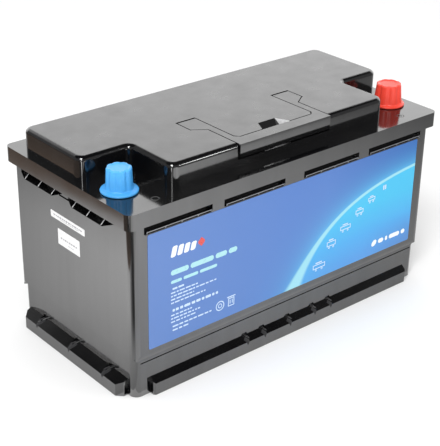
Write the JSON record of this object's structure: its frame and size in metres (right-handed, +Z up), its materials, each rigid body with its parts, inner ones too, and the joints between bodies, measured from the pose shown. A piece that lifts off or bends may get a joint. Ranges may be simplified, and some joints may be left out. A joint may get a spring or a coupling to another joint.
{
  "type": "deep cycle battery",
  "caption": "Low block-shaped leisure battery with ledged black case, raised lid with flush folding handle, recessed capped terminals and a blue front label.",
  "frame": {"origin": "centre of the base, on the plane it rests on", "axes": "+X along the length, away from the stickered end; -Y out of the label side; +Z up"},
  "size_m": [0.353, 0.175, 0.19],
  "materials": {
    "case_black": "gloss moulded",
    "lid_black": "satin top, gloss walls",
    "seal_rubber": "matt",
    "handle_black": "satin",
    "pin_steel": "ground",
    "post_brass": "turned",
    "cap_blue": "soft satin",
    "cap_red": "soft satin",
    "label_film": "printed film",
    "sticker_white": "paper",
    "foam_grey": "closed-cell foam",
    "cell_wrap": "shrink film",
    "spacer_sheet": "sheet",
    "plate_aluminium": "mill",
    "strap_steel": "rolled",
    "bus_copper": "copper strip",
    "fastener_steel": "zinc plated",
    "bracket_metal": "plated sheet",
    "sink_aluminium": "extruded",
    "board_green": "solder mask",
    "wire_red": "wire cover",
    "wire_black": "wire cover",
    "lug_tin": "tinned"
  },
  "bodies": {
    "battery": {"case": "case_black", "lid": "lid_black", "lid_seal": "seal_rubber", "hinge_pins": "pin_steel", "negative_post": "post_brass", "positive_post": "post_brass", "post_seals": "seal_rubber", "front_label": "label_film", "end_strip_sticker": "sticker_white", "end_square_sticker": "sticker_white", "base_pad": "foam_grey", "top_pad": "foam_grey", "cell_1": "cell_wrap", "cell_2": "cell_wrap", "cell_3": "cell_wrap", "cell_4": "cell_wrap", "cell_spacers": "spacer_sheet", "end_plates": "plate_aluminium", "cell_straps": "strap_steel", "series_busbars": "bus_copper", "busbar_nuts": "fastener_steel", "bms_bracket": "bracket_metal", "bms_heat_sink": "sink_aluminium", "bms_board": "board_green", "bms_screws": "fastener_steel", "balance_harness": "wire_red", "temperature_sensor": "wire_black", "negative_lead": "wire_black", "positive_lead": "wire_red", "bms_link_lead": "wire_black", "lead_lugs": "lug_tin", "post_bolts": "fastener_steel"},
    "handle": {"carry_handle": "handle_black"},
    "blue_cap": {"negative_cap": "cap_blue"},
    "red_cap": {"positive_cap": "cap_red"}
  },
  "joints": [
    {"name": "handle_fold", "type": "hinge", "parent": "battery", "child": "handle", "pos_m": [0, -0.0139, 0.1857], "axis": [-1, 0, 0], "range_deg": [0, 110]},
    {"name": "blue_cap_lift", "type": "slide", "parent": "battery", "child": "blue_cap", "axis": [0, 0, 1], "range_m": [0, 0.06]},
    {"name": "red_cap_lift", "type": "slide", "parent": "battery", "child": "red_cap", "axis": [0, 0, 1], "range_m": [0, 0.06]}
  ]
}
